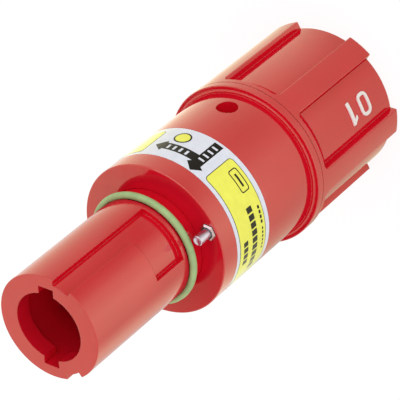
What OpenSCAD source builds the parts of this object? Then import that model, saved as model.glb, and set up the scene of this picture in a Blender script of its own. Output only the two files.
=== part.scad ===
// Single pole power connector for one heavy cable, standing on its gland nut with the nose up.
// All sizes are in millimetres. Angles run clockwise seen from the nose, from the spanner hole.

/* [Nose] */
// Length of the nose in front of the shell
nose_len = 56.6; // [52:0.2:64]
// Diameter of the mouth inside the lip
mouth_d = 24.6; // [23:0.2:27]
// Thickness of the lip round the mouth
lip_t = 6; // [4:0.5:8]
// Width of the two keyways through the lip
key_w = 5.7; // [4:0.1:7]
// Depth of the keyways outside the mouth
key_depth = 2.5; // [2:0.1:3]
// Wall of the nose outside its cavity
nose_wall = 3.9; // [3.2:0.1:4.4]
// Depth of the front cavity from the nose face
cavity_depth = 50; // [48:0.5:51]
// Thickness of the wall that carries the contact
bulkhead_t = 12; // [10:0.5:14]
// Width of the bayonet slots at the nose's skin
slot_w = 6.8; // [5:0.1:8]
// Depth of the bayonet slots
slot_depth = 1.8; // [1:0.1:2]
// Angle of the first bayonet slot
slot_a = 19.8; // [10:0.2:30]
// Angle of the second bayonet slot
slot_b = 152.2; // [140:0.2:165]
// Angle from a slot's middle to the end of its pocket
pocket_span = 57; // [40:0.2:70]
// Length of each pocket along the nose
pocket_len = 14.5; // [10:0.1:18]
// Distance from the shell's face to the pockets
pocket_gap = 9.3; // [8.8:0.1:12]
// Radius of the corner that guides the mating lug
guide_r = 2; // [1:0.5:3]

/* [Shell] */
// How far the insulator's flange stands out of its front part
seat_step = 1.9; // [1.5:0.1:2.4]
// Wall of the shell outside its rear bore
shell_wall = 6.7; // [6.2:0.1:7.4]
// Length of the shell from its face to the flange
shell_len = 53; // [50:0.5:60]
// How far the rounded ledge on the flange stands out of the shell
ledge_step = 1.1; // [0.8:0.1:1.4]
// Height and edge radius of the rounded ledge
ledge_h = 0.5; // [0.3:0.1:0.7]
// Radius of the flange's front edge
flange_round = 0.3; // [0.2:0.1:0.6]
// Thickness of the flange
flange_t = 2.8; // [2:0.2:5]
// Wall of the threaded spigot without its thread
spigot_wall = 2.4; // [2:0.1:2.8]
// Length of the threaded spigot
spigot_len = 19; // [18:0.5:20]
// Diameter of the spanner hole
hole_d = 7.5; // [5:0.5:9]
// Depth of the spanner hole
hole_depth = 4.5; // [2:0.1:5.5]
// Distance from the shell's face to the spanner hole
hole_drop = 44.3; // [36:0.1:46]

/* [Label] */
// Width of the wrap label
label_w = 18.7; // [10:0.1:24]
// Distance from the shell's face to the label
label_drop = 7.6; // [5:0.1:12]
// Thickness of the label
label_t = 0.25; // [0.2:0.05:0.5]
// Gap between the label's two ends
label_split = 1; // [0.5:0.5:3]

/* [Seals] */
// Thickness of the green ring at the foot of the nose
ring_cord = 2.5; // [2.2:0.1:2.8]
// How far the green ring stands out of the nose
ring_stand = 1.8; // [1.5:0.1:2]
// Distance from the shell's face to the middle of the green ring
ring_gap = 5.8; // [4:0.05:5.9]
// Room beside the seal ring in its groove
ring_room = 0.4; // [0.2:0.1:0.6]
// Distance from the shell's face to the ring between the insulator and the shell
inner_drop = 16; // [10:0.5:20]
// Thickness of the ring between the insulator and the shell
inner_cord = 1.8; // [1.6:0.1:2]
// Thickness of the ring round the contact
contact_cord = 1.5; // [1.2:0.1:1.8]
// Thickness of the ring under the gland nut
nut_cord = 1.9; // [1.6:0.1:2]

/* [Lock pin] */
// Diameter of the locking pin
pin_d = 3.5; // [3:0.1:3.6]
// How far the pin stands out of the shell's face
pin_stand = 6.1; // [5:0.1:8]
// How far the pin can be pressed in
pin_travel = 6; // [4:0.1:6]
// Distance of the pin's middle from the shell's side
pin_inset = 3.6; // [3.5:0.1:4]
// Angle of the pin
pin_angle = 64.3; // [50:0.1:80]
// Diameter of the bore that holds the pin and its spring
pin_bore_d = 5; // [4.8:0.1:5.1]
// Room left for the spring when the pin is pressed in
spring_pressed = 9.7; // [7:0.1:11]
// Length of the guide bush below the face
bush_len = 8; // [6:0.5:9]
// Height of the bush's six-sided head
bush_head = 0.8; // [0.7:0.1:1.2]
// Width of the head across its corners
bush_head_d = 6; // [5.8:0.1:6]
// Height and depth of the slope round the head
bush_bevel = 0.6; // [0.3:0.1:0.6]
// Depth of the seat in the face that the head sits in
bush_sink = 0.3; // [0.2:0.1:0.6]
// Width of the recess round the pin in the head
bush_mouth_d = 4.3; // [4.1:0.1:4.4]
// Depth of that recess
bush_mouth_depth = 1.4; // [0.6:0.1:2]
// Length of the pin's collar
collar_len = 2; // [1.5:0.1:3]
// Thickness of the spring's wire
wire_d = 0.45; // [0.3:0.05:0.5]
// Turns of the spring
spring_turns = 9; // [6:1:12]

/* [Contact] */
// Bore of the contact socket
socket_bore_d = 13; // [12:0.2:13.4]
// Wall of the contact socket
socket_wall = 2; // [2:0.1:2.4]
// Length of the socket in front of the bulkhead
socket_len = 28; // [26:0.5:30]
// Depth of the socket's bore
socket_depth = 24; // [22:0.5:24]
// Depth of the recess for the contact band
band_recess = 0.6; // [0.4:0.1:0.8]
// Distance from the socket's mouth to the contact band
band_drop = 8; // [6:0.5:9]
// Width of the contact band
band_w = 12; // [8:0.5:12]
// Louvres of the contact band
louvres = 20; // [12:2:24]
// Diameter of the conductor barrel
barrel_d = 26; // [25:0.2:26.4]
// Bore of the conductor barrel
barrel_bore_d = 17.2; // [14:0.2:18]
// Distance from the barrel's end to the end of the insulator's lock ring
barrel_inset = 1; // [0.5:0.5:3]
// Depth of the barrel's bore
barrel_depth = 30; // [28:0.5:32]
// How far the contact's shoulder stands out of the barrel
shoulder_step = 1.3; // [0.8:0.1:1.6]
// Thickness of the contact's shoulder
shoulder_t = 4; // [3:0.5:5]
// Thread diameter of the clamp screws
screw_d = 8; // [6:1:8]
// Distance between the two clamp screws
screw_pitch = 14; // [12:0.5:15]
// Wall of the sleeve round the barrel
sleeve_wall = 1.7; // [1.3:0.1:2]
// Thickness of the guard round the socket
guard_wall = 1.7; // [1.2:0.1:2.2]
// Thickness of the circlip
clip_t = 1.2; // [1:0.1:1.4]
// Depth of the circlip's groove
clip_depth = 1.1; // [0.8:0.1:1.2]

/* [Gland] */
// Thickness of the insulator's flange
seat_t = 5; // [4:0.5:6]
// Distance from the shell's face to the insulator's flange
seat_drop = 31.4; // [30:0.2:32]
// Length of the ring that locks the insulator
lock_ring_t = 12; // [10:0.5:12]
// Room between the barrel's sleeve and the ring that locks the insulator
lock_ring_room = 0.9; // [0.5:0.1:1.5]
// Slots in that ring
lock_ring_slots = 4; // [2:1:6]
// Length of the rubber gland seal
seal_len = 20; // [16:0.5:20]
// Bore of the rubber gland seal
seal_bore_d = 25; // [20:0.5:28]
// Thickness of the washer behind the seal
washer_t = 1.2; // [1:0.1:2]
// Thickness of the clamping cage's base
cage_t = 4; // [3:0.5:4]
// Bore of the clamping cage
cage_bore_d = 32; // [30:0.2:32.4]
// Thickness of the cage's fingers
finger_t = 2.2; // [1.8:0.1:2.4]
// Length of the cage's fingers
finger_len = 21; // [18:0.5:22]
// Pairs of slots between the fingers
finger_slots = 6; // [4:1:8]
// Width of those slots
finger_gap = 2; // [1:0.1:3]
// Length of the slip ring
slip_len = 11.7; // [9:0.1:12]
// Wall of the slip ring
slip_wall = 3; // [2.4:0.1:3.4]

/* [Nut] */
// Length of the gland nut
nut_len = 49.6; // [48:0.2:54]
// Wall of the nut between its ribs
nut_wall = 2.6; // [2.2:0.1:3.2]
// How far the ribs and the rim stand out of that wall
rib_stand = 2.7; // [2.2:0.1:3.2]
// Height of the full rim in front of the ribs
rim_t = 1.8; // [1:0.1:4]
// Height of the slope from the rim to the valleys
ramp_h = 4; // [2:0.5:6]
// Width of a rib
rib_w = 9.3; // [7:0.1:12]
// Number of ribs
rib_count = 6; // [4:1:8]
// Rounding of the ribs' edges
rib_round = 0.5; // [0.3:0.1:1]
// Radius of the corners and of the edge at the ribs' rear end
rib_end = 0.8; // [0.4:0.1:1.2]
// Radius of the hollow corners where the ribs run into the rim
rib_flare = 2; // [1:0.25:3]
// Thickness of the nut's rear wall
nut_floor = 5; // [4:0.5:6]
// Diameter of the cable entry
entry_d = 34; // [32:0.5:36]
// Rounding of the cable entry's edge
entry_round = 2; // [1:0.5:2.5]
// Room for the thread between the spigot and the nut
thread_h = 1.2; // [1:0.1:1.4]
// Free room behind the spigot's end
spigot_room = 1.5; // [1:0.5:3]

/* [Fits] */
// Clearance between pieces that fit into each other
fit = 0.1; // [0.05:0.01:0.12]
// Clearance between pieces that move past each other
gap = 0.3; // [0.2:0.05:0.3]

/* [Hidden] */
$fn = 96;
tiny = 0.01;
over = 1;

// Radii, from the mouth out to the nut's ribs
mouth_r = mouth_d / 2;
cavity_r = mouth_r + key_depth + fit;
nose_r = cavity_r + nose_wall;
slot_floor_r = nose_r - slot_depth;
slot_span = 2 * asin(slot_w / 2 / nose_r);
insert_r = nose_r + seat_step;
rear_bore_r = insert_r + fit;
shell_r = rear_bore_r + shell_wall;
ledge_r = shell_r + ledge_step;
spigot_r = rear_bore_r + spigot_wall;
nut_bore_r = spigot_r + thread_h + gap;
valley_r = nut_bore_r + nut_wall;
rim_r = valley_r + rib_stand;

// Levels, from the nut's rear face up to the nose
z_seam = nut_len;
z_flange = z_seam + flange_t;
z_face = z_flange + shell_len;
z_tip = z_face + nose_len;
z_ledge = z_flange + ledge_h;
z_spigot = z_seam - spigot_len;
z_seat = z_face - seat_drop;
z_seat_rear = z_seat - seat_t;
z_lock_rear = z_seat_rear - lock_ring_t;
z_seal_rear = z_lock_rear - seal_len;
z_washer_rear = z_seal_rear - washer_t;
z_cage_rear = z_washer_rear - cage_t;
z_finger_rear = z_cage_rear - finger_len;
z_cavity = z_tip - cavity_depth;
z_bulkhead_rear = z_cavity - bulkhead_t;
z_ring = z_face + ring_gap;
z_pocket = z_face + pocket_gap;
z_label_top = z_face - label_drop;
z_hole = z_face - hole_drop;

// Seals
ring_groove_r = nose_r + ring_stand - ring_cord;
ring_groove_w = ring_cord + 2 * ring_room;
inner_groove_r = nose_r - inner_cord;
inner_groove_w = inner_cord + 4 * fit;
z_inner = z_face - inner_drop;
nut_ring_r = nut_bore_r - gap - nut_cord;
nut_ring_w = nut_cord + 4 * fit;
z_nut_ring = z_seam - nut_ring_w;

// Contact
socket_bore_r = socket_bore_d / 2;
socket_r = socket_bore_r + socket_wall;
barrel_r = barrel_d / 2;
barrel_bore_r = barrel_bore_d / 2;
shoulder_r = barrel_r + shoulder_step;
z_socket_tip = z_cavity + socket_len;
z_socket_end = z_socket_tip - socket_depth;
z_band_top = z_socket_tip - band_drop;
z_barrel_top = z_bulkhead_rear - shoulder_t;
z_barrel_rear = z_lock_rear + barrel_inset;
contact_groove_r = socket_r - contact_cord + fit;
contact_groove_w = contact_cord + 4 * fit;
z_contact_ring = z_bulkhead_rear + bulkhead_t / 2;
clip_groove_r = socket_r - clip_depth;
clip_r = socket_r + guard_wall;
guard_lip_t = 1.5;
band_sheet = 0.25;
sleeve_bore_r = barrel_r + 4 * fit;
sleeve_r = sleeve_bore_r + sleeve_wall;
rear_cavity_r = sleeve_r + fit;

// Gland
cage_bore_r = cage_bore_d / 2;
finger_r = cage_bore_r + finger_t;
slip_r = finger_r + slip_wall;
lock_ring_bore_r = sleeve_r + lock_ring_room;
entry_r = entry_d / 2;
z_slip = nut_floor + gap;
tip_bevel = 1.3;

// Lock pin
pin_r = pin_d / 2;
pin_bore_r = pin_bore_d / 2;
collar_r = pin_bore_r - 2 * fit;
z_collar_top = z_face - bush_len - gap;
z_collar_rear = z_collar_top - collar_len;
pin_bore_depth = bush_len + gap + collar_len + pin_travel + spring_pressed;
z_pin_bore = z_face - pin_bore_depth;
tail_r = collar_r - wire_d - gap - 2 * fit;
tail_len = 4;

// Turns its children from +X to an angle measured clockwise from the spanner hole
module at_angle(angle) {
    rotate([0, 0, -90 - angle]) children();
}

// An arc as points, from one angle to another
function arc(x, y, r, from, to, step = 15) =
    [for (a = [from:step:to]) [x + r * cos(a), y + r * sin(a)]];

// What rounds a square corner that runs along +X, cut a little past its tangents
module corner_cut(r, length) {
    side = r - past_tangent;
    difference() {
        translate([0, -side, -tiny]) cube([length, side + tiny, side + tiny]);
        translate([-over, -side, side]) rotate([0, 90, 0])
            cylinder(r = r, h = length + 2 * over, $fn = 32);
    }
}
past_tangent = 0.03;

// A tube between two levels
module tube(r_out, r_in, z_low, z_high) {
    difference() {
        rod(r_out, z_low, z_high);
        rod(r_in, z_low - over, z_high + over);
    }
}

// A cylinder between two levels
module rod(r, z_low, z_high) {
    translate([0, 0, z_low]) cylinder(r = r, h = z_high - z_low);
}

// An O-ring that lies in a groove of the given bottom radius
module o_ring(groove_r, cord, z_mid) {
    translate([0, 0, z_mid])
        rotate_extrude()
            translate([groove_r + cord / 2 + fit / 2, 0]) circle(d = cord, $fn = 48);
}

// Housing
module housing_shell() {
    color("firebrick")
        difference() {
            rotate_extrude() polygon(shell_outline());
            label_recess();
            spanner_hole();
            lock_pin_bore();
            nut_ring_groove();
        }
}

function shell_outline() = concat(
    [
        [rear_bore_r, z_spigot], [spigot_r, z_spigot], [spigot_r, z_seam], [rim_r, z_seam]
    ],
    arc(rim_r - flange_round, z_flange - flange_round, flange_round, 0, 90),
    arc(ledge_r - ledge_h, z_flange, ledge_h, 0, 90),
    [
        [shell_r, z_ledge], [shell_r, z_face - face_edge], [shell_r - face_edge, z_face],
        [nose_r + fit, z_face], [nose_r + fit, z_seat], [rear_bore_r, z_seat]
    ]
);
face_edge = 0.3;

module label_recess() {
    tube(shell_r + over, shell_r - label_t, z_label_top - label_w - fit, z_label_top + fit);
}

module spanner_hole() {
    at_angle(0)
        translate([shell_r - hole_depth, 0, z_hole])
            rotate([0, 90, 0]) cylinder(d = hole_d, h = hole_depth + over);
}

module lock_pin_bore() {
    at_lock_pin() {
        rod(pin_bore_r, z_pin_bore, z_face + over);
        rotate([0, 0, 30]) translate([0, 0, z_face - bush_sink])
            cylinder(r = bush_head_d / 2 + 2 * fit, h = bush_sink + over, $fn = 6);
    }
}

module nut_ring_groove() {
    tube(spigot_r + over, nut_ring_r, z_nut_ring - nut_ring_w, z_nut_ring);
}

// Nose insulator
module nose_insulator() {
    color("red")
        difference() {
            rotate_extrude() polygon(nose_outline());
            keyways();
            difference() {
                union() {
                    bayonet_slot(slot_a);
                    bayonet_slot(slot_b);
                }
                translate([0, 0, z_face]) cylinder(r = slot_floor_r, h = nose_len + over);
            }
            groove(nose_r, ring_groove_r, ring_groove_w, z_ring);
            groove(nose_r, inner_groove_r, inner_groove_w, z_inner);
        }
}

nose_edge = 0.2;
function nose_outline() = [
    [rear_cavity_r, z_seat_rear], [insert_r, z_seat_rear], [insert_r, z_seat],
    [nose_r, z_seat], [nose_r, z_tip - nose_edge], [nose_r - nose_edge, z_tip],
    [mouth_r, z_tip], [mouth_r, z_tip - lip_t], [cavity_r, z_tip - lip_t], [cavity_r, z_cavity],
    [socket_r + fit, z_cavity], [socket_r + fit, z_bulkhead_rear],
    [rear_cavity_r, z_bulkhead_rear]
];

module groove(r_out, r_floor, width, z_mid) {
    tube(r_out + over, r_floor, z_mid - width / 2, z_mid + width / 2);
}

module keyways() {
    at_angle(0)
        translate([-mouth_r - key_depth, -key_w / 2, z_tip - lip_t - tiny])
            cube([2 * (mouth_r + key_depth), key_w, lip_t + over]);
}

// An open channel from the nose face, with a pocket to one side at its end
module bayonet_slot(angle) {
    reach = nose_r + over;
    translate([0, 0, z_pocket])
        at_angle(angle - slot_span / 2) {
            linear_extrude(z_tip - z_pocket + over) polygon(sector(reach, slot_span));
            linear_extrude(pocket_len) polygon(sector(reach, slot_span / 2 + pocket_span));
            rotate([0, 0, -slot_span]) translate([0, 0, pocket_len]) corner_cut(guide_r, reach);
        }
}

// A flat sector of at least the given radius, clockwise from the +X axis
function sector(r, span) =
    let (rim = r / cos(span / 4))
    [for (a = [0:span / 2:span]) [rim * cos(a), -rim * sin(a)], [0, 0]];

module front_o_ring() {
    color("darkseagreen") o_ring(ring_groove_r, ring_cord, z_ring);
}

module inner_o_ring() {
    color("black") o_ring(inner_groove_r, inner_cord - fit, z_inner);
}

module nut_o_ring() {
    color("black") o_ring(nut_ring_r, nut_cord - fit, z_nut_ring - nut_ring_w / 2);
}

module contact_o_ring() {
    color("black") o_ring(contact_groove_r, contact_cord - fit, z_contact_ring);
}

// Wrap label, with its two ends meeting on the far side
module label_band() {
    color("ivory")
        difference() {
            tube(shell_r, shell_r - label_t + fit / 4, z_label_top - label_w, z_label_top);
            at_angle(180)
                translate([shell_r - over, -label_split / 2, z_label_top - label_w - over])
                    cube([2 * over, label_split, label_w + 2 * over]);
        }
}

// Lock pin with its bush and spring
module at_lock_pin() {
    at_angle(pin_angle) translate([shell_r - pin_inset, 0, 0]) children();
}

module lock_pin() {
    z_pin_tip = z_face + pin_stand;
    dish_r = 2;
    dish_depth = 0.5;
    tip_edge = 0.2;
    color("gainsboro")
        at_lock_pin()
            difference() {
                union() {
                    rod(pin_r, z_collar_rear, z_pin_tip - tip_edge);
                    translate([0, 0, z_pin_tip - tip_edge])
                        cylinder(r1 = pin_r, r2 = pin_r - tip_edge, h = tip_edge);
                    rod(collar_r, z_collar_rear, z_collar_top);
                    rod(tail_r, z_collar_rear - tail_len, z_collar_top);
                }
                translate([0, 0, z_pin_tip + dish_r - dish_depth]) sphere(r = dish_r, $fn = 48);
            }
}

module lock_pin_bush() {
    z_head = z_face - bush_sink;
    z_bevel = z_face + bush_head - bush_bevel;
    head_r = bush_head_d / 2;
    color("silver")
        at_lock_pin()
            difference() {
                union() {
                    rod(pin_bore_r - fit / 2, z_face - bush_len, z_head + tiny);
                    rotate([0, 0, 30]) {
                        translate([0, 0, z_head])
                            cylinder(r = head_r, h = z_bevel - z_head, $fn = 6);
                        translate([0, 0, z_bevel])
                            cylinder(r1 = head_r, r2 = head_r - bush_bevel, h = bush_bevel, $fn = 6);
                    }
                }
                rod(pin_r + fit / 2, z_face - bush_len - over, z_face + bush_head + over);
                rod(bush_mouth_d / 2, z_face + bush_head - bush_mouth_depth, z_face + bush_head + over);
            }
}

spring_r = collar_r - wire_d / 2;
spring_gap = 0.05;
spring_len = z_collar_rear - z_pin_bore - wire_d - 2 * spring_gap;
spring_steps = 14;
wire_sides = 6;

// A point on the wire's skin: step along the coil, side round the wire
function spring_point(step, side) =
    let (
        turn = 360 * step / spring_steps,
        around = 360 * side / wire_sides,
        r = spring_r + wire_d / 2 * cos(around)
    )
    [
        r * cos(turn),
        r * sin(turn),
        spring_len * step / (spring_steps * spring_turns) + wire_d / 2 * sin(around)
    ];

module lock_pin_spring() {
    last = spring_steps * spring_turns;
    points = [for (i = [0:last]) for (j = [0:wire_sides - 1]) spring_point(i, j)];
    walls = [
        for (i = [0:last - 1]) for (j = [0:wire_sides - 1])
            let (a = i * wire_sides, b = a + wire_sides, k = (j + 1) % wire_sides)
            [a + j, a + k, b + k, b + j]
    ];
    start = [for (j = [wire_sides - 1:-1:0]) j];
    end = [for (j = [0:wire_sides - 1]) last * wire_sides + j];
    color("lightsteelblue")
        at_lock_pin()
            translate([0, 0, z_pin_bore + wire_d / 2 + spring_gap])
                polyhedron(points, concat(walls, [start, end]));
}

// Contact
module contact_socket() {
    color("goldenrod")
        difference() {
            rotate_extrude() polygon(contact_outline());
            groove(socket_r, contact_groove_r, contact_groove_w, z_contact_ring);
            groove(socket_r, clip_groove_r, clip_t + 2 * fit, z_clip);
            clamp_holes();
        }
}
z_clip = z_cavity + clip_t / 2 + fit;
mouth_bevel = 1;

function contact_outline() = [
    [barrel_bore_r, z_barrel_rear], [barrel_r, z_barrel_rear], [barrel_r, z_barrel_top],
    [shoulder_r, z_barrel_top], [shoulder_r, z_bulkhead_rear], [socket_r, z_bulkhead_rear],
    [socket_r, z_socket_tip - mouth_bevel], [socket_r - mouth_bevel / 2, z_socket_tip],
    [socket_bore_r + mouth_bevel / 2, z_socket_tip], [socket_bore_r, z_socket_tip - mouth_bevel],
    [socket_bore_r, z_band_top], [socket_bore_r + band_recess, z_band_top],
    [socket_bore_r + band_recess, z_band_top - band_w], [socket_bore_r, z_band_top - band_w],
    [socket_bore_r, z_socket_end], [0, z_socket_end], [0, z_barrel_rear + barrel_depth],
    [barrel_bore_r, z_barrel_rear + barrel_depth]
];

module at_clamp_screws() {
    z_mid = z_barrel_rear + barrel_depth / 2;
    for (side = [-1, 1])
        translate([0, 0, z_mid + side * screw_pitch / 2])
            at_angle(0) rotate([0, 90, 0]) children();
}

module clamp_holes() {
    at_clamp_screws() cylinder(d = screw_d, h = barrel_r + over);
}

module clamp_screws() {
    socket_af = screw_d / 2;
    socket_deep = 2.2;
    flush_r = sqrt(pow(barrel_r, 2) - pow(screw_d / 2, 2));
    color("dimgray")
        at_clamp_screws()
            difference() {
                translate([0, 0, barrel_bore_r + fit])
                    cylinder(d = screw_d - 2 * fit, h = flush_r - barrel_bore_r - fit);
                translate([0, 0, flush_r - socket_deep])
                    cylinder(d = socket_af / cos(30), h = socket_deep + over, $fn = 6);
            }
}

module contact_band() {
    band_r = socket_bore_r + band_recess - fit / 2;
    end_w = 1.6;
    slit_w = 0.9;
    slit_len = band_w - 2 * fit - 2 * end_w;
    color("gold")
        difference() {
            tube(band_r, band_r - band_sheet, z_band_top - band_w + fit, z_band_top - fit);
            for (i = [0:louvres - 1])
                at_angle(360 * i / louvres)
                    translate([0, -slit_w / 2, z_band_top - band_w + fit + end_w])
                        cube([band_r + over, slit_w, slit_len]);
        }
}

module touch_guard() {
    guard_r = socket_r + fit + guard_wall;
    guard_mouth_r = socket_bore_r + mouth_bevel / 2;
    z_guard_rear = z_clip + clip_t / 2 + fit;
    z_guard_lip = z_socket_tip + fit;
    color("maroon")
        rotate_extrude()
            polygon([
                [socket_r + fit, z_guard_rear], [guard_r, z_guard_rear],
                [guard_r, z_guard_lip + guard_lip_t], [guard_mouth_r, z_guard_lip + guard_lip_t],
                [guard_mouth_r, z_guard_lip], [socket_r + fit, z_guard_lip]
            ]);
}

module contact_circlip() {
    ear_gap = 3;
    color("slategray")
        difference() {
            tube(clip_r, clip_groove_r + fit, z_clip - clip_t / 2, z_clip + clip_t / 2);
            at_angle(180)
                translate([0, -ear_gap / 2, z_clip - clip_t])
                    cube([clip_r + over, ear_gap, 2 * clip_t]);
        }
}

module rear_sleeve() {
    color("darkred")
        tube(sleeve_r, sleeve_bore_r, z_barrel_rear - fit, z_barrel_top - fit);
}

// Gland
module lock_ring() {
    slot_wide = 5;
    slot_deep = 3;
    ring_r = insert_r;
    color("tomato")
        difference() {
            tube(ring_r, lock_ring_bore_r, z_lock_rear, z_seat_rear);
            for (i = [0:lock_ring_slots - 1])
                at_angle(360 * (i + 0.5) / lock_ring_slots)
                    translate([0, -slot_wide / 2, z_lock_rear - over])
                        cube([ring_r + over, slot_wide, slot_deep + over]);
        }
}

module gland_seal() {
    seal_r = insert_r;
    rib_depth = 1;
    rib_pitch = 4;
    color("#303030")
        difference() {
            tube(seal_r, seal_bore_d / 2, z_seal_rear, z_lock_rear);
            for (z = [z_seal_rear + rib_pitch:rib_pitch:z_lock_rear - rib_pitch / 2])
                tube(seal_bore_d / 2 + rib_depth, tiny, z - rib_depth / 2, z + rib_depth / 2);
        }
}

module pressure_washer() {
    color("lightgray")
        tube(insert_r, cage_bore_r, z_washer_rear, z_seal_rear);
}

module clamping_cage() {
    color("whitesmoke")
        difference() {
            rotate_extrude() polygon(cage_outline());
            for (i = [0:finger_slots - 1])
                at_angle(180 * i / finger_slots)
                    translate([-finger_r - over, -finger_gap / 2, z_finger_rear - over])
                        cube([2 * (finger_r + over), finger_gap, finger_len + over]);
        }
}

function cage_outline() = [
    [cage_bore_r, z_finger_rear], [finger_r - tip_bevel, z_finger_rear],
    [finger_r, z_slip + slip_len], [finger_r, z_cage_rear], [insert_r, z_cage_rear],
    [insert_r, z_washer_rear], [cage_bore_r, z_washer_rear]
];

module slip_ring() {
    color("snow")
        difference() {
            translate([0, 0, z_slip]) cylinder(r = slip_r, h = slip_len);
            translate([0, 0, z_slip - tiny])
                cylinder(r1 = entry_r, r2 = finger_r + 2 * gap, h = slip_len + 2 * tiny);
        }
}

// Nut
module gland_nut() {
    color("crimson")
        difference() {
            union() {
                rotate_extrude() polygon(nut_outline());
                nut_ribs();
            }
            rotate_extrude() polygon(nut_inside());
        }
}

z_nut_top = z_seam - gap;
nut_edge = 0.3;

function nut_outline() = [
    [0, 0], [valley_r - nut_edge, 0], [valley_r, nut_edge], [valley_r, z_nut_top - rim_t - ramp_h],
    [rim_r, z_nut_top - rim_t], [rim_r, z_nut_top], [0, z_nut_top]
];

z_spigot_room = z_spigot - spigot_room;
slip_bore_r = slip_r + fit;

function nut_inside() = concat(
    [[0, -over], [entry_r + entry_round, -over]],
    [
        for (a = [270:-15:180])
            [entry_r + entry_round + entry_round * cos(a), entry_round + entry_round * sin(a)]
    ],
    [
        [entry_r, nut_floor], [slip_bore_r, nut_floor],
        [slip_bore_r, z_spigot_room - (nut_bore_r - slip_bore_r)], [nut_bore_r, z_spigot_room],
        [nut_bore_r, z_nut_top + over], [0, z_nut_top + over]
    ]
);

module nut_ribs() {
    for (i = [0:rib_count - 1])
        at_angle(360 * (i + 0.5) / rib_count) rib();
}

// A straight rib with rounded long edges and a rounded rear end
module rib() {
    rib_h = z_nut_top - rim_t;
    foot_x = valley_r - over;
    flank_y = rib_w / 2 - rib_round;
    corner_x = sqrt(pow(rim_r - rib_round, 2) - pow(flank_y, 2)) - past_tangent;
    difference() {
        intersection() {
            rotate_extrude() polygon(rib_envelope(rib_h));
            union() {
                translate([foot_x, -rib_w / 2, 0]) cube([corner_x - foot_x, rib_w, rib_h]);
                translate([foot_x, -flank_y, 0]) cube([rim_r, 2 * flank_y, rib_h]);
                for (side = [-1, 1])
                    translate([corner_x, side * flank_y, 0])
                        cylinder(r = rib_round, h = rib_h, $fn = 24);
                for (side = [0, 1])
                    mirror([0, side, 0]) translate([foot_x, rib_w / 2, rib_h]) rib_foot_corner();
            }
        }
        for (side = [0, 1])
            mirror([0, side, 0])
                translate([foot_x, rib_w / 2, 0]) corner_cut(rib_end, rim_r - foot_x + over);
    }
}

function rib_envelope(rib_h) = concat(
    [[0, 0]], arc(rim_r - rib_end, rib_end, rib_end, -90, 0), [[rim_r, rib_h], [0, rib_h]]
);

// The hollow corner between a rib and the rim
module rib_foot_corner() {
    reach = rim_r - valley_r + 2 * over;
    difference() {
        translate([0, -over, -rib_flare]) cube([reach, rib_flare + over, rib_flare]);
        translate([-over, rib_flare, -rib_flare]) rotate([0, 90, 0])
            cylinder(r = rib_flare + past_tangent, h = reach + 2 * over, $fn = 32);
    }
}

housing_shell();
nose_insulator();
front_o_ring();
label_band();
lock_pin();
lock_pin_bush();
lock_pin_spring();
contact_socket();
contact_band();
touch_guard();
contact_o_ring();
contact_circlip();
clamp_screws();
rear_sleeve();
inner_o_ring();
lock_ring();
nut_o_ring();
gland_seal();
pressure_washer();
clamping_cage();
slip_ring();
gland_nut();
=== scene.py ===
import math

import bmesh
import bpy
from mathutils import Matrix, Quaternion, Vector

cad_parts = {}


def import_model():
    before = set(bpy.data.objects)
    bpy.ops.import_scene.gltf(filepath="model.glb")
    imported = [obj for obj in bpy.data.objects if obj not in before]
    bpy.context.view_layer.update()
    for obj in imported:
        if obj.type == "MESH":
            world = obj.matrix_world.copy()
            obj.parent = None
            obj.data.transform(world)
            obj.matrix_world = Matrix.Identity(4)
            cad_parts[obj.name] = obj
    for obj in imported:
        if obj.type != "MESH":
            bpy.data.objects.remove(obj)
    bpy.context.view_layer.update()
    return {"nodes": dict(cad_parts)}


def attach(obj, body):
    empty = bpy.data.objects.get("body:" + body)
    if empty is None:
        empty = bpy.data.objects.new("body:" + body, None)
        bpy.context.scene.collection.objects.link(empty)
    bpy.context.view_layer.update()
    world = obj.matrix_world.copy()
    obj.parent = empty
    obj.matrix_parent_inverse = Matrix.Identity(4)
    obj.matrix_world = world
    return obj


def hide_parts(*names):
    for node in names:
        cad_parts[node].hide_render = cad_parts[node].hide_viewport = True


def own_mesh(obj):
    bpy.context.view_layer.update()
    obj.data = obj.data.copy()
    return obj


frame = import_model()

MM = 0.001

# Places that the CAD source also holds, in millimetres, and the locking pin's axis in metres
SHELL_R = 27.5
LABEL_LOW, LABEL_HIGH = 79.1, 97.8
VALLEY_R = 27.3
SPIGOT_R = 23.2
NUT_BORE_R = 24.7
THREAD_PITCH = 3.0
BUSH_MOUTH_R = 2.17
PIN_AXIS = (-0.021535, -0.010364, 0)

# Colours as they are seen, 0 to 255
MOULDED_RED = (206, 17, 38)
INNER_RED = (150, 22, 26)
RING_GREEN = (160, 190, 132)
SEAL_BLACK = (28, 28, 30)
GLAND_GREY = (205, 203, 196)
FILM_WHITE = (233, 236, 247)
PRINT_YELLOW = (250, 249, 100)
PRINT_DARK = (30, 26, 20)
PRINT_BLACK = (14, 8, 14)
MARK_WHITE = (240, 238, 234)
STEEL = (200, 202, 206)
PIN_STEEL = (212, 208, 247)
BUSH_STEEL = (202, 182, 204)
DARK_STEEL = (96, 98, 102)
# Painted shade, near black, in the bush's mouth round the pin
PAINTED_SHADE_BLACK = (20, 10, 16)
SILVER = (208, 210, 226)
GOLD = (214, 176, 96)
FLOOR_WHITE = (224, 224, 222)
WHITE = (255, 255, 255)
# The light tent in gloss, and its floor behind the object
GLOSS_TINT = (255, 252, 217)
BEHIND_TINT = (255, 254, 250)


def linear(colour):
    """A colour from 0 to 255 as Blender's linear red, green, blue and alpha."""
    parts = [c / 255 for c in colour]
    return [c / 12.92 if c <= 0.04045 else ((c + 0.055) / 1.055) ** 2.4 for c in parts] + [1.0]


def scaled(colour, factor):
    """A colour times a factor, up to white."""
    return tuple(min(255, c * factor) for c in colour)


# Nodes

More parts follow.
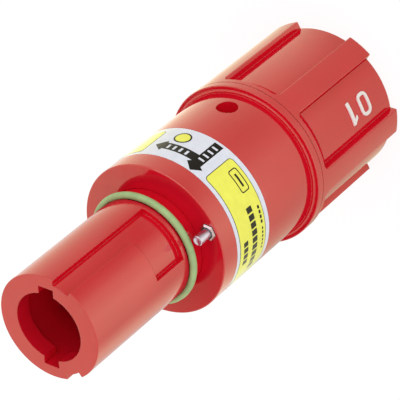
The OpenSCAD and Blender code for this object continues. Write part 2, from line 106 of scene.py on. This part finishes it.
def node_tools(tree):
    """For a node tree, a function that adds a node and one that joins a value to a socket."""

    def add(kind, inputs=(), **settings):
        node = tree.nodes.new("ShaderNode" + kind)
        for key, value in settings.items():
            setattr(node, key, value)
        for key, value in dict(inputs).items():
            join(value, node.inputs[key])
        return node

    def join(value, socket):
        if isinstance(value, bpy.types.NodeSocket):
            tree.links.new(value, socket)
        else:
            socket.default_value = value

    return add, join


def new_material(name):
    """A material with only a Principled shader, and the two functions for its nodes."""
    made = bpy.data.materials.new(name)
    made.use_nodes = True
    add, join = node_tools(made.node_tree)
    return made, made.node_tree.nodes["Principled BSDF"], add, join


def place(add):
    """The place on the object, in metres."""
    return add("TexCoord").outputs["Object"]


def noise(add, scale, detail, stretch=None):
    """Noise of so many features a metre, from 0 to 1."""
    where = place(add)
    if stretch:
        where = add("Mapping", {"Vector": where, "Scale": stretch}).outputs["Vector"]
    return add("TexNoise", {"Vector": where, "Scale": scale, "Detail": detail}).outputs[0]


def remap(add, value, start, end, low=0.0, high=1.0):
    """Low at the start and under it, high at the end and past it, and even in between."""
    inputs = {"Value": value, "From Min": start, "From Max": end, "To Min": low, "To Max": high}
    return add("MapRange", inputs).outputs["Result"]


def spread(add, value, low, high):
    """Noise, mostly between 0.3 and 0.7, spread from low to high."""
    return remap(add, value, 0.3, 0.7, low, high)


def blend_colours(add, factor, first, second):
    """The first colour at 0 and the second at 1, by a Mix node's sockets for colours."""
    return add("Mix", {"Factor": factor, 6: first, 7: second}, data_type="RGBA").outputs[2]


def blend_values(add, factor, first, second):
    """The first value at 0 and the second at 1, by a Mix node's sockets for values."""
    return add("Mix", {"Factor": factor, 2: first, 3: second}).outputs[0]


def mottled(add, value, colour, darkest, palest):
    """The colour times a factor that follows the noise."""
    return blend_colours(add, spread(add, value, 0.0, 1.0),
                         linear(scaled(colour, darkest)), linear(scaled(colour, palest)))


def math_node(add, operation, *values):
    return add("Math", dict(enumerate(values)), operation=operation).outputs[0]


def vector_node(add, operation, *values, output="Vector"):
    return add("VectorMath", dict(enumerate(values)), operation=operation).outputs[output]


def level_part(add, vector):
    """A place or an offset without its height."""
    return vector_node(add, "MULTIPLY", vector, (1, 1, 0))


def within(add, middle, radius):
    """1 inside an upright cylinder, and 0 outside it."""
    offset = vector_node(add, "SUBTRACT", place(add), middle)
    reach = vector_node(add, "LENGTH", level_part(add, offset), output="Value")
    return math_node(add, "LESS_THAN", reach, radius)


# A rib's wall is shaded more and more as upright between the first value and the second of its
# normal's outward part, and the same of the distance from the axis in millimetres
UPRIGHT_SLANTS = (0.55, 0.4)
UPRIGHT_RADII = (29.3, 28.6)


def upright(add, normal):
    """The normal of a wall that nearly faces along the rim, turned to face just along it low down."""
    level = level_part(add, place(add))
    turned = add("VectorTransform", {0: level}, vector_type="VECTOR",
                 convert_from="OBJECT", convert_to="WORLD").outputs["Vector"]
    outward = vector_node(add, "NORMALIZE", turned)
    slant = vector_node(add, "DOT_PRODUCT", normal, outward, output="Value")
    steep = remap(add, math_node(add, "ABSOLUTE", slant), *UPRIGHT_SLANTS)
    reach = vector_node(add, "LENGTH", level, output="Value")
    low = remap(add, reach, *(r * MM for r in UPRIGHT_RADII))
    taken = math_node(add, "MULTIPLY", slant, math_node(add, "MULTIPLY", steep, low))
    part = add("VectorMath", {0: outward, "Scale": taken}, operation="SCALE").outputs["Vector"]
    return vector_node(add, "NORMALIZE", vector_node(add, "SUBTRACT", normal, part))


# How far an edge is softened, in millimetres
EDGE_SOFTNESS = 0.3
EDGE_SAMPLES = 6


def softened(add):
    """The normal with its edges softened."""
    return add("Bevel", {"Radius": EDGE_SOFTNESS * MM}, samples=EDGE_SAMPLES).outputs["Normal"]


def bump(add, height, depth, normal=None):
    """A bump of so many millimetres between the lowest and the highest noise."""
    inputs = {"Height": height, "Strength": 1.0, "Distance": depth * MM}
    if normal is not None:
        inputs["Normal"] = normal
    return add("Bump", inputs).outputs["Normal"]


# Materials

PLASTIC_IOR = 1.8
# The specular level of a plain Principled shader, which only the first reflection has
PLASTIC_SPECULAR = 0.5
# Painted bounce light: diffuse light sees plastic this much brighter than its colour, which lifts the
# shade in its own recesses
PAINTED_BOUNCE = 1.18
FILM_ROUGHNESS = 0.14
FILM_IOR = 1.2
# Turning marks run round the axis
TURNED = (1, 1, 14)


def plastic(name, colour, roughness, walls_upright=False):
    """Moulded plastic: slightly uneven colour and gloss, a fine grain, a few faint flow waves, and
    painted bounce light in its recesses.
    """
    made, shader, add, join = new_material(name)
    tone = mottled(add, noise(add, scale=45, detail=3.0), colour, darkest=0.98, palest=1.02)
    fleck = spread(add, noise(add, scale=900, detail=2.0), 0.0, 0.08)
    tone = blend_colours(add, fleck, tone, linear(scaled(colour, 0.92)))
    path = add("LightPath").outputs
    # Painted bounce light: to diffuse rays the plastic is a brighter copy of its colour, so its recesses
    # are less shaded
    painted_bounce = linear(scaled(colour, PAINTED_BOUNCE))
    join(blend_colours(add, path["Is Diffuse Ray"], tone, painted_bounce), shader.inputs["Base Color"])
    waves = noise(add, scale=160, detail=4.0)
    join(spread(add, waves, roughness - 0.02, roughness + 0.03), shader.inputs["Roughness"])
    join(PLASTIC_IOR, shader.inputs["IOR"])
    once = remap(add, path["Is Glossy Ray"], 0.0, 1.0, PLASTIC_SPECULAR, 0.0)
    join(once, shader.inputs["Specular IOR Level"])
    normal = softened(add)
    if walls_upright:
        normal = upright(add, normal)
    grain = noise(add, scale=5200, detail=3.0)
    join(bump(add, grain, 0.0012, normal), shader.inputs["Normal"])
    return made


def rubber(name, colour, roughness=0.55, mirrored=1.0):
    """Soft rubber with a dusty bloom and a fine matt grain; its colour in the gloss of pieces nearby is a
    painted reflection, paler or darker.
    """
    made, shader, add, join = new_material(name)
    tone = mottled(add, noise(add, scale=260, detail=4.0), colour, darkest=0.95, palest=1.05)
    # Painted reflection: to glossy rays the colour is scaled by mirrored
    seen = add("LightPath").outputs["Is Glossy Ray"]
    join(blend_colours(add, seen, tone, linear(scaled(colour, mirrored))), shader.inputs["Base Color"])
    bloom = noise(add, scale=700, detail=3.0)
    join(spread(add, bloom, roughness - 0.06, roughness + 0.06), shader.inputs["Roughness"])
    join(bump(add, noise(add, scale=3500, detail=2.0), 0.008), shader.inputs["Normal"])
    return made


def film(name, colour):
    """Printed plastic film: even ink with a faint mottle under a smooth skin."""
    made, shader, add, join = new_material(name)
    tone = mottled(add, noise(add, scale=380, detail=4.0), colour, darkest=0.975, palest=1.015)
    join(tone, shader.inputs["Base Color"])
    gloss = noise(add, scale=300, detail=2.0)
    join(spread(add, gloss, FILM_ROUGHNESS - 0.03, FILM_ROUGHNESS + 0.03), shader.inputs["Roughness"])
    for key, value in (("IOR", FILM_IOR), ("Coat IOR", FILM_IOR), ("Coat Weight", 1.0),
                       ("Coat Roughness", FILM_ROUGHNESS)):
        join(value, shader.inputs[key])
    join(bump(add, noise(add, scale=1400, detail=2.0), 0.0015), shader.inputs["Normal"])
    return made


def metal(name, colour, roughness, mirrored=0.0, painted_shade=None):
    """Turned metal: fine marks round the axis and uneven gloss, with painted shade, near black, inside a
    cylinder.

    Mirrored is a painted reflection: how brightly it glows in the tent's colour to gloss on other pieces,
    though it is no lamp."""
    made, shader, add, join = new_material(name)
    marks = noise(add, scale=1500, detail=3.0, stretch=TURNED)
    tone = mottled(add, marks, colour, darkest=0.9, palest=1.05)
    if painted_shade:
        # Painted shade: near black inside the cylinder, where the gap round the pin lies in shade
        tone = blend_colours(add, within(add, *painted_shade), tone, linear(PAINTED_SHADE_BLACK))
    join(tone, shader.inputs["Base Color"])
    join(1.0, shader.inputs["Metallic"])
    gloss = noise(add, scale=500, detail=3.0)
    join(spread(add, gloss, roughness - 0.05, roughness + 0.08), shader.inputs["Roughness"])
    join(bump(add, marks, 0.002), shader.inputs["Normal"])
    # Painted reflection: to glossy rays the metal glows in the tent's colour
    if mirrored:
        seen = add("LightPath").outputs["Is Glossy Ray"]
        join(linear(GLOSS_TINT), shader.inputs["Emission Color"])
        join(math_node(add, "MULTIPLY", seen, mirrored), shader.inputs["Emission Strength"])
    return made


def dress_nodes():
    """Gives each CAD node its one material."""
    inner = plastic("inner_red", INNER_RED, roughness=0.4)
    grey = plastic("gland_plastic", GLAND_GREY, roughness=0.45)
    black = rubber("black_rubber", SEAL_BLACK)
    dark = metal("dark_steel", DARK_STEEL, roughness=0.35)
    # The bush's mouth round the pin, where its metal gets painted shade, near black
    mouth = (PIN_AXIS, BUSH_MOUTH_R * MM)
    # mirrored sets a piece's painted reflection, how it looks in the gloss of other pieces
    looks = {
        "housing_shell": plastic("moulded_red_shell", MOULDED_RED, roughness=0.08),
        "nose_insulator": plastic("moulded_red_nose", MOULDED_RED, roughness=0.13),
        "gland_nut": plastic("moulded_red_nut", MOULDED_RED, roughness=0.1, walls_upright=True),
        "front_o_ring": rubber("green_rubber", RING_GREEN, roughness=0.48, mirrored=0.15),
        "label_band": film("label_film", FILM_WHITE),
        "lock_pin": metal("pin_steel", PIN_STEEL, roughness=0.34, mirrored=0.35),
        "lock_pin_bush": metal("bright_bush", BUSH_STEEL, roughness=0.16, mirrored=0.15, painted_shade=mouth),
        "lock_pin_spring": dark, "contact_circlip": dark, "clamp_screws": dark,
        "pressure_washer": metal("washer_steel", STEEL, roughness=0.3),
        "contact_socket": metal("silver_plate", SILVER, roughness=0.26),
        "contact_band": metal("gold_plate", GOLD, roughness=0.2),
        "touch_guard": inner, "rear_sleeve": inner,
        "contact_o_ring": black, "inner_o_ring": black, "nut_o_ring": black, "gland_seal": black,
        "lock_ring": grey, "clamping_cage": grey, "slip_ring": grey,
    }
    for node, material in looks.items():
        mesh = frame["nodes"][node].data
        mesh.materials.clear()
        mesh.materials.append(material)


# Pieces

def piece(name, points, faces, material, body):
    """A new piece from its points and faces, with its material, on a body."""
    mesh = bpy.data.meshes.new(name)
    mesh.from_pydata([tuple(p) for p in points], [], faces)
    bm = bmesh.new()
    bm.from_mesh(mesh)
    bmesh.ops.recalc_face_normals(bm, faces=bm.faces[:])
    bm.to_mesh(mesh)
    bm.free()
    mesh.materials.append(material)
    made = bpy.data.objects.new(name, mesh)
    bpy.context.scene.collection.objects.link(made)
    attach(made, body)
    return made


# Sheets on a cylinder, given as loops of (height, angle): millimetres from the nut's rear face, and
# degrees clockwise from the spanner hole, seen from the nose. A sheet is cut every few degrees.

SHEET_STEP = 3.0


def on_cylinder(radius, height, angle):
    """A place on a cylinder, in metres."""
    turn = math.radians(-90 - angle)
    return Vector((radius * math.cos(turn), radius * math.sin(turn), height)) * MM


def degrees_round(length, radius):
    """A length round a cylinder as an angle."""
    return math.degrees(length / radius)


def flat_sheet(loops):
    """The area inside the loops as triangles, cut every few degrees so that it can bend."""
    bm = bmesh.new()
    for loop in loops:
        corners = [bm.verts.new((angle, height, 0)) for height, angle in loop]
        for a, b in zip(corners, corners[1:] + corners[:1]):
            bm.edges.new((a, b))
    bmesh.ops.triangle_fill(bm, use_beauty=True, edges=bm.edges[:])
    angles = [v.co.x for v in bm.verts]
    cut = math.floor(min(angles) / SHEET_STEP) * SHEET_STEP + SHEET_STEP
    while cut < max(angles):
        bmesh.ops.bisect_plane(
            bm, geom=bm.verts[:] + bm.edges[:] + bm.faces[:],
            plane_co=(cut, 0, 0), plane_no=(1, 0, 0))
        cut += SHEET_STEP
    bm.verts.index_update()
    return bm


def wrapped(name, loops, radius, rise, material, body):
    """A closed sheet that stands so far out of a cylinder."""
    bm = flat_sheet(loops)
    count = len(bm.verts)
    points = [on_cylinder(radius, v.co.y, v.co.x) for v in bm.verts]
    points += [on_cylinder(radius + rise, v.co.y, v.co.x) for v in bm.verts]
    faces = []
    for face in bm.faces:
        ring = [v.index for v in face.verts]
        if face.normal.z < 0:
            ring.reverse()
        faces.append([i + count for i in reversed(ring)])
        faces.append(ring)
    for edge in bm.edges:
        if len(edge.link_faces) == 1:
            a, b = (v.index for v in edge.verts)
            faces.append([a, b, b + count, a + count])
    bm.free()
    return piece(name, points, faces, material, body)


def arc_points(middle, size, start, end, count=6):
    """Points of an ellipse's arc, (height, angle), from one direction to another in degrees."""
    turns = [math.radians(start + (end - start) * i / count) for i in range(count + 1)]
    return [(middle[0] + size[0] * math.sin(t), middle[1] + size[1] * math.cos(t)) for t in turns]


def rounded(low, high, left, right, corner, radius):
    """A rounded rectangle from low to high and from the left to the right angle."""
    wide = degrees_round(corner, radius)
    size = (corner, wide)
    return (
        arc_points((high - corner, right - wide), size, 0, 90)
        + arc_points((high - corner, left + wide), size, 90, 180)
        + arc_points((low + corner, left + wide), size, 180, 270)
        + arc_points((low + corner, right - wide), size, 270, 360))


def square(low, high, left, right):
    """A rectangle with sharp corners."""
    return [(low, left), (high, left), (high, right), (low, right)]


def disc(middle, size, radius, count=40):
    """A round spot of so many corners."""
    sizes = (size, degrees_round(size, radius))
    return arc_points(middle, sizes, 0, 360 * (1 - 1 / count), count - 1)


# The label's print: plain fields, arrows, bars, a spot, a frame and blocks, in layers on the shell

LAYER = 0.02
FIELD_SIDES = {"print_field_left": (-162.0, -21.5), "print_field_right": (31.7, 162.0)}
FIELD_LOW, FIELD_HIGH = LABEL_LOW + 2.1, LABEL_HIGH - 1.6
FIELD_ROUND = 1.6
FIELD_LINE = 0.26
ARROWS = [
    (80.2, 16.8), (80.2, 24.1), (93.5, 24.1), (94.3, 27.0), (97.3, 20.6), (94.3, 14.0),
    (93.1, 16.0), (93.1, -8.6), (94.3, -9.4), (91.1, -16.6), (88.1, -9.6), (89.2, -8.6),
    (89.2, 16.8),
]
# Bars on the arrows: their size, and along each arrow the first one's place and the step
BARS = 4
BAR_LONG, BAR_WIDE = 2.2, 0.85
LOCK_LOW, LOCK_FIRST, LOCK_STEP = 90.15, -5.4, 4.9
PUSH_MIDDLE, PUSH_FIRST, PUSH_STEP = 20.45, 82.3, 2.6
SPOT = (84.7, -3.2)
SPOT_R, SPOT_LINE_R = 2.5, 3.1
# Low, high, left, right and corner
FRAME_OUTSIDE = (82.9, 87.2, 38.6, 56.6, 1.0)
FRAME_INSIDE = (83.3, 86.8, 39.4, 55.8, 0.7)
FRAME_BAR = (84.6, 85.5, 42.5, 52.7, 0.2)
# Rows of plain blocks: low, high, left, right, blocks, gap in degrees
BLOCK_ROWS = (
    (86.2, 89.0, 66.0, 116.0, 9, 1.3), (91.6, 94.0, 87.0, 106.0, 4, 1.2),
    (82.6, 83.6, 69.5, 83.0, 4, 1.1), (82.7, 83.4, 86.0, 104.0, 6, 1.1),
)
BLOCK_ROUND = 0.2


def label_prints():
    """The fields with their lines, then all that is printed over them and between them."""
    yellow = film("print_yellow", PRINT_YELLOW)
    dark = film("print_dark", PRINT_DARK)
    black = film("print_black", PRINT_BLACK)
    white = film("print_white", FILM_WHITE)

    def ink(name, loops, layer, material):
        wrapped(name, loops, SHELL_R, LAYER * layer, material, "housing")

    line_deg = degrees_round(FIELD_LINE, SHELL_R)
    for name, (left, right) in FIELD_SIDES.items():
        outer = rounded(FIELD_LOW, FIELD_HIGH, left, right, FIELD_ROUND, SHELL_R)
        inner = rounded(FIELD_LOW + FIELD_LINE, FIELD_HIGH - FIELD_LINE, left + line_deg,
                        right - line_deg, FIELD_ROUND - FIELD_LINE, SHELL_R)
        ink(name + "_line", [outer], 1, dark)
        ink(name, [inner], 2, yellow)

    ink("print_arrows", [ARROWS], 1, black)
    half_wide = degrees_round(BAR_WIDE / 2, SHELL_R)
    half_long = degrees_round(BAR_LONG / 2, SHELL_R)
    for i in range(BARS):
        middle = LOCK_FIRST + LOCK_STEP * i
        bar = square(LOCK_LOW, LOCK_LOW + BAR_LONG, middle - half_wide, middle + half_wide)
        ink(f"print_bar_lock_{i}", [bar], 2, white)
        low = PUSH_FIRST + PUSH_STEP * i
        bar = square(low, low + BAR_WIDE, PUSH_MIDDLE - half_long, PUSH_MIDDLE + half_long)
        ink(f"print_bar_push_{i}", [bar], 2, white)

    ink("print_spot_line", [disc(SPOT, SPOT_LINE_R, SHELL_R)], 1, dark)
    ink("print_spot", [disc(SPOT, SPOT_R, SHELL_R)], 2, yellow)

    ink("print_frame", [rounded(*FRAME_OUTSIDE, SHELL_R), rounded(*FRAME_INSIDE, SHELL_R)], 3, dark)
    ink("print_frame_bar", [rounded(*FRAME_BAR, SHELL_R)], 3, dark)

    for row, (low, high, left, right, count, gap) in enumerate(BLOCK_ROWS):
        wide = (right - left + gap) / count
        blocks = [
            rounded(low, high, left + wide * i, left + wide * (i + 1) - gap, BLOCK_ROUND, SHELL_R)
            for i in range(count)]
        ink(f"print_row_{row}", blocks, 3, dark)


# The raised number on the nut, sunk a little into the valley between two ribs

NUMBER_SUNK, NUMBER_RISE = 0.05, 0.55
NUMBER_LEFT, NUMBER_RIGHT = 54.6, 72.2
NUMBER_EDGE, NUMBER_EDGE_STEPS, NUMBER_EDGE_ANGLE = 0.12, 2, 50
STROKE = 1.25
# Low and high
ZERO = (11.1, 16.9)
ZERO_ROUND, ZERO_HOLE_ROUND = 2.4, 1.0
ONE = [
    (21.6, NUMBER_LEFT), (23.2, NUMBER_LEFT), (23.2, NUMBER_RIGHT), (22.1, NUMBER_RIGHT),
    (20.0, NUMBER_RIGHT - 3.4), (20.0, NUMBER_RIGHT - 5.9), (21.6, NUMBER_RIGHT - 3.6),
]


def nut_number():
    """The number 01, with its edges rounded off."""
    white = plastic("mark_paint", MARK_WHITE, roughness=0.4)
    low, high = ZERO
    stroke_deg = degrees_round(STROKE, VALLEY_R)
    zero = rounded(low, high, NUMBER_LEFT, NUMBER_RIGHT, ZERO_ROUND, VALLEY_R)
    hole = rounded(low + STROKE, high - STROKE, NUMBER_LEFT + stroke_deg,
                   NUMBER_RIGHT - stroke_deg, ZERO_HOLE_ROUND, VALLEY_R)
    for name, loops in (("nut_number_0", [zero, hole]), ("nut_number_1", [ONE])):
        made = wrapped(name, loops, VALLEY_R - NUMBER_SUNK, NUMBER_RISE, white, "gland_nut")
        edge = made.modifiers.new("edge", "BEVEL")
        edge.width, edge.segments = NUMBER_EDGE * MM, NUMBER_EDGE_STEPS
        edge.limit_method, edge.angle_limit = "ANGLE", math.radians(NUMBER_EDGE_ANGLE)


# Threads between the spigot and the nut: ridges that stand out of the CAD's plain cylinders

# Steps a turn, and in the run-out at each end
THREAD_STEPS, THREAD_RUN_OUT = 72, 18
THREAD_SUNK, THREAD_RISE = 0.05, 1.15
THREAD_ROOT_W, THREAD_CREST_W = 1.7, 0.7
# The share of its rise that a ridge has at its very ends
THREAD_END = 0.05
SPIGOT_THREAD_LOW, SPIGOT_THREAD_HIGH = 31.8, 45.6
NUT_THREAD_LOW = SPIGOT_THREAD_LOW + 1.5 * THREAD_PITCH
NUT_THREAD_HIGH = NUT_THREAD_LOW + 10.5


def helix_ridge(name, root_r, crest_r, low, high, material, body):
    """A right-handed thread ridge with run-out ends."""
    turns = (high - low) / THREAD_PITCH
    total = int(THREAD_STEPS * turns)
    points, faces = [], []
    for i in range(total + 1):
        fade = min(1.0, i / THREAD_RUN_OUT, (total - i) / THREAD_RUN_OUT)
        reach = root_r + (crest_r - root_r) * max(THREAD_END, fade)
        height = low + THREAD_PITCH * i / THREAD_STEPS
        turn = 2 * math.pi * i / THREAD_STEPS
        for r, dz in ((root_r, -THREAD_ROOT_W / 2), (root_r, THREAD_ROOT_W / 2),
                      (reach, THREAD_CREST_W / 2), (reach, -THREAD_CREST_W / 2)):
            points.append(Vector((r * math.cos(turn), r * math.sin(turn), height + dz)) * MM)
    for i in range(total):
        a, b = 4 * i, 4 * i + 4
        for j in range(4):
            k = (j + 1) % 4
            faces.append([a + j, a + k, b + k, b + j])
    faces.append([0, 1, 2, 3])
    faces.append([4 * total + j for j in (3, 2, 1, 0)])
    piece(name, points, faces, material, body)


def threads():
    """The spigot's ridge, and the nut's, which runs half a pitch above it."""
    helix_ridge("spigot_thread", SPIGOT_R - THREAD_SUNK, SPIGOT_R + THREAD_RISE,
                SPIGOT_THREAD_LOW, SPIGOT_THREAD_HIGH,
                bpy.data.materials["moulded_red_shell"], "housing")
    helix_ridge("nut_thread", NUT_BORE_R + THREAD_SUNK, NUT_BORE_R - THREAD_RISE,
                NUT_THREAD_LOW, NUT_THREAD_HIGH,
                bpy.data.materials["moulded_red_nut"], "gland_nut")


def spring():
    """The pin's spring: a copy of the CAD node's mesh on the housing, in place of the node."""
    node = frame["nodes"]["lock_pin_spring"]
    mesh = node.data.copy()
    mesh.transform(node.matrix_world)
    made = bpy.data.objects.new("pin_spring_coil", mesh)
    bpy.context.scene.collection.objects.link(made)
    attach(made, "housing")
    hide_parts("lock_pin_spring")
    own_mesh(made)


# Camera and lamps, in metres

CAMERA_PLACE = Vector((-0.387894, -0.430748, 0.620217))
CAMERA_TURN = Quaternion((0.06608439, 0.28731394, 0.27572372, -0.91490978))
CAMERA_SEES = (0.05, 20)
FOCAL_PIXELS = 2385.37
IMAGE_PIXELS = 400
SENSOR_MM = 36.0
OBJECT_MIDDLE = Vector((0, 0, 0.081))
# Direction as parts of the camera's back, up and right, then distance, size and watts
LAMPS = {
    "key": ((0.75, 0.6, -0.35), 1.1, 0.9, 1.35),
    "fill": ((0.6, -0.15, 0.8), 1.2, 0.7, 0.7),
}


def camera():
    """The camera that was fitted to the photo."""
    data = bpy.data.cameras.new("camera")
    data.sensor_width = SENSOR_MM
    data.lens = FOCAL_PIXELS / IMAGE_PIXELS * SENSOR_MM
    data.clip_start, data.clip_end = CAMERA_SEES
    made = bpy.data.objects.new("camera", data)
    made.rotation_mode = "QUATERNION"
    made.location, made.rotation_quaternion = CAMERA_PLACE, CAMERA_TURN
    bpy.context.scene.collection.objects.link(made)
    bpy.context.scene.camera = made


def lamps():
    """Soft boxes that look at the object's middle."""
    view = CAMERA_TURN.to_matrix()
    right, up, back = view.col[0], view.col[1], view.col[2]
    for name, (parts, distance, size, watts) in LAMPS.items():
        data = bpy.data.lights.new(name, "AREA")
        data.shape, data.size, data.energy = "SQUARE", size, watts
        made = bpy.data.objects.new(name, data)
        away = (back * parts[0] + up * parts[1] + right * parts[2]).normalized()
        made.location = OBJECT_MIDDLE + away * distance
        made.rotation_mode = "QUATERNION"
        made.rotation_quaternion = away.to_track_quat("Z", "Y")
        made.visible_camera = False
        bpy.context.scene.collection.objects.link(made)


# The light tent. Azimuths are in degrees clockwise from the spanner hole, seen from the nose.

# What gloss sees of the tent's floor: azimuth, and the level at each distance from the axis
TENT_RADII = (0.045, 0.095, 0.135, 0.15, 0.178)
TENT_LEVELS = (
    (-180, 0.52, 0.73, 1.52, 0.97, 1.04), (-162, 0.3, 0.6, 1.2, 0.7, 0.82),
    (-146, 0.35, 0.7, 1.05, 0.75, 0.9), (-125, 0.85, 1.04, 0.56, 0.9, 1.04),
    (-95, 1.5, 1.67, 1.42, 1.15, 1.28), (-65, 1.35, 1.4, 1.35, 1.0, 1.1),
    (-35, 1.25, 0.99, 1.02, 0.67, 0.87), (-20, 1.2, 0.86, 0.95, 0.36, 0.68),
    (-5, 1.03, 0.72, 0.82, 0.2, 0.52), (10, 0.8, 0.65, 0.73, 0.25, 0.45),
    (25, 0.7, 0.73, 0.78, 0.26, 0.43), (40, 0.67, 0.9, 0.95, 0.68, 0.7),
    (55, 0.84, 1.12, 1.28, 1.15, 1.2), (85, 0.8, 1.09, 1.6, 1.45, 1.66),
    (115, 0.87, 0.9, 1.02, 0.84, 1.24), (130, 0.82, 0.76, 0.96, 0.78, 0.94),
    (160, 0.65, 0.76, 1.36, 1.09, 1.36), (180, 0.52, 0.73, 1.52, 0.97, 1.04),
)
# The level that is white in the ramps, which hold the levels as colours
TENT_TOP = 2.0
# Where the floor is whitest in gloss, and from which cosine of the angle to there it turns white
TENT_BEHIND = -138
TENT_WHITENS = 0.6
# The tent's level in gloss, its mean level for diffuse light, how much brighter that is in front,
# and how far past the camera's azimuth its front is
TENT_GLOSS = 1.1
TENT_DIFFUSE = 0.75
TENT_FRONT = 0.4
TENT_TURN = 26
# Dark panels that the right side of the shell's face reflects: azimuth and elevation, level, and
# how far from there it is all dark and no longer dark, in degrees
TENT_PANELS = (((206, 50), 0.38, (13.2, 14.1)), ((220.5, 47.5), 0.0, (5.1, 5.5)))
# The floor: the share of it that glows for the camera and how brightly, so that it is white
FLOOR_R = 4.0
FLOOR_CORNERS = 64
FLOOR_ROUGHNESS = 0.9
FLOOR_GLOWING = 0.78
FLOOR_GLOW = 1.12


def towards(azimuth, elevation=0.0):
    """A direction of length 1."""
    turn, height = math.radians(azimuth), math.radians(elevation)
    return Vector((-math.sin(turn) * math.cos(height), -math.cos(turn) * math.cos(height),
                   math.sin(height)))


def world():
    """A light tent: white where it is seen, brighter in front for diffuse light."""
    made = bpy.data.worlds.new("light_tent")
    made.use_nodes = True
    tent = made.node_tree.nodes["Background"]
    add, join = node_tools(made.node_tree)
    path = add("LightPath").outputs
    where = add("TexCoord").outputs["Generated"]
    camera_side = (CAMERA_PLACE - OBJECT_MIDDLE).normalized()
    front = Matrix.Rotation(math.radians(-TENT_TURN), 3, "Z") @ camera_side
    facing = vector_node(add, "DOT_PRODUCT", where, front, output="Value")
    level = remap(add, facing, -1.0, 1.0,
                  TENT_DIFFUSE * (1 - TENT_FRONT), TENT_DIFFUSE * (1 + TENT_FRONT))
    bright = TENT_GLOSS
    for middle, dark, span in TENT_PANELS:
        near, far = (math.cos(math.radians(a)) for a in span)
        cosine = vector_node(add, "DOT_PRODUCT", where, towards(*middle), output="Value")
        bright = blend_values(add, remap(add, cosine, far, near), bright, dark)
    level = blend_values(add, path["Is Glossy Ray"], level, bright)
    join(blend_values(add, path["Is Camera Ray"], level, 1.0), tent.inputs["Strength"])
    colour = blend_colours(add, path["Is Glossy Ray"], linear(WHITE), linear(GLOSS_TINT))
    join(colour, tent.inputs["Color"])
    bpy.context.scene.world = made


def tent_tint(add):
    """The colour of the tent's floor for gloss: warm, and white behind the object."""
    outward = vector_node(add, "NORMALIZE", place(add))
    cosine = vector_node(add, "DOT_PRODUCT", outward, towards(TENT_BEHIND), output="Value")
    white = remap(add, cosine, TENT_WHITENS, 1.0)
    return blend_colours(add, white, linear(GLOSS_TINT), linear(BEHIND_TINT))


def tent_pattern(add):
    """The level of the tent's floor for gloss, from its place round the object."""
    axes = add("SeparateXYZ", {"Vector": place(add)}).outputs
    west = math_node(add, "MULTIPLY", axes["X"], -1.0)
    south = math_node(add, "MULTIPLY", axes["Y"], -1.0)
    along = remap(add, math_node(add, "ARCTAN2", west, south), -math.pi, math.pi)
    distance = vector_node(add, "LENGTH", place(add), output="Value")

    def ramp(column):
        node = add("ValToRGB", {"Fac": along})
        stops = node.color_ramp.elements
        for row in TENT_LEVELS[1:-1]:
            stops.new((row[0] + 180) / 360)
        for stop, row in zip(stops, TENT_LEVELS):
            stop.position = (row[0] + 180) / 360
            stop.color = [row[column] / TENT_TOP] * 3 + [1.0]
        return node.outputs["Color"]

    level = ramp(1)
    for i in range(1, len(TENT_RADII)):
        reach = remap(add, distance, TENT_RADII[i - 1], TENT_RADII[i])
        level = blend_colours(add, reach, level, ramp(i + 1))
    return math_node(add, "MULTIPLY", level, TENT_TOP)


def floor():
    """A pale floor: white to the camera apart from a faint shadow, and the tent's floor for gloss."""
    bpy.ops.mesh.primitive_circle_add(
        vertices=FLOOR_CORNERS, radius=FLOOR_R, fill_type="NGON", location=(0, 0, 0))
    made = bpy.context.object
    made.name = "floor"
    material, shader, add, join = new_material("pale_floor")
    join(linear(FLOOR_WHITE), shader.inputs["Base Color"])
    join(FLOOR_ROUGHNESS, shader.inputs["Roughness"])
    path = add("LightPath").outputs
    lift = math_node(add, "MULTIPLY", path["Is Camera Ray"], FLOOR_GLOWING)
    white = add("Emission", {"Color": linear(WHITE), "Strength": FLOOR_GLOW})
    mix = add("MixShader", {0: lift, 1: shader.outputs[0], 2: white.outputs[0]})
    tent = add("Emission", {"Color": tent_tint(add), "Strength": tent_pattern(add)})
    mix = add("MixShader", {0: path["Is Glossy Ray"], 1: mix.outputs[0], 2: tent.outputs[0]})
    output = next(n for n in material.node_tree.nodes if n.type == "OUTPUT_MATERIAL")
    join(mix.outputs[0], output.inputs["Surface"])
    made.data.materials.append(material)


dress_nodes()
label_prints()
nut_number()
threads()
spring()
camera()
lamps()
world()
floor()
bpy.context.scene.view_settings.view_transform = "Standard"
